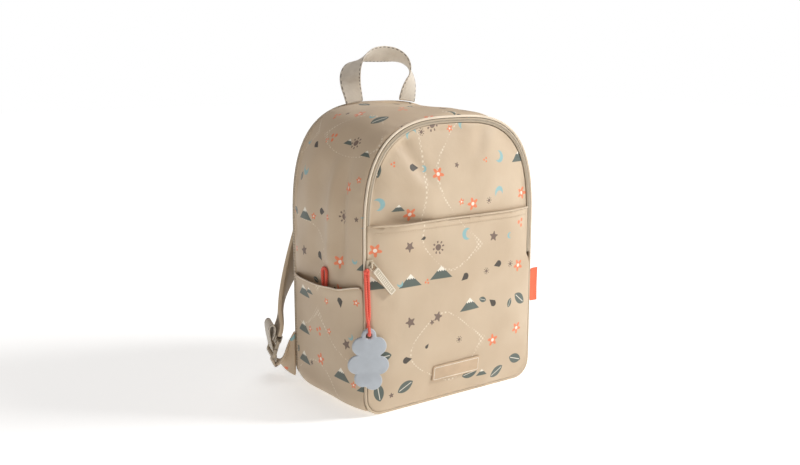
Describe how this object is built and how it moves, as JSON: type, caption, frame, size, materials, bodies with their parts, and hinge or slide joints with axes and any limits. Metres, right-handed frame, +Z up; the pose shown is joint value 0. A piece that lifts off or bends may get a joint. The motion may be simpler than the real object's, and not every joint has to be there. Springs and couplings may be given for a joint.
{
  "type": "kids backpack",
  "caption": "Small arched backpack of printed cloth with a front slot pocket, an arched zip, side pockets, a grab handle, two padded straps and a cloud tag on a cord.",
  "frame": {"origin": "middle of the flat base, on the floor", "axes": "+Z up, -Y out of the front pocket, +Y towards the wearer's back, +X to the label's side"},
  "size_m": [0.2962, 0.2108, 0.3967],
  "materials": {
    "printed_cloth": "coated plain weave, satin, printed",
    "back_cloth": "padded plain weave",
    "piping": "folded self cloth",
    "zip_tape": "woven tape with coil",
    "slider": "painted, satin",
    "puller": "moulded, matt",
    "patch": "moulded, matt, raised border",
    "label": "woven ribbon",
    "cord": "braided cord",
    "tag": "moulded, matt",
    "webbing": "woven webbing with dashed edges",
    "strap_cloth": "padded air-mesh, plain",
    "buckle": "moulded, matt"
  },
  "bodies": {
    "bag": {"back_panel": "back_cloth", "cloud_tag": "tag", "front_panel": "printed_cloth", "front_patch": "patch", "front_piping": "piping", "front_pocket": "printed_cloth", "grab_handle": "webbing", "gusset": "printed_cloth", "ladder_lock_left": "buckle", "ladder_lock_right": "buckle", "pocket_loop": "cord", "shoulder_strap_left": "strap_cloth", "shoulder_strap_right": "strap_cloth", "side_label": "label", "side_pocket_left": "printed_cloth", "side_pocket_right": "printed_cloth", "strap_keeper_left": "webbing", "strap_keeper_right": "webbing", "strap_tab_left": "printed_cloth", "strap_tab_right": "printed_cloth", "strap_webbing_left": "webbing", "strap_webbing_right": "webbing", "tag_cord": "cord", "zip_slider": "slider", "zip_tape": "zip_tape", "zip_welt": "piping"},
    "puller": {"zip_puller": "puller"}
  },
  "joints": [
    {"name": "puller_lift", "type": "hinge", "parent": "bag", "child": "puller", "pos_m": [-0.1142, -0.0769, 0.17], "axis": [-0.7934, 0, -0.6088], "range_deg": [0, 100]}
  ]
}
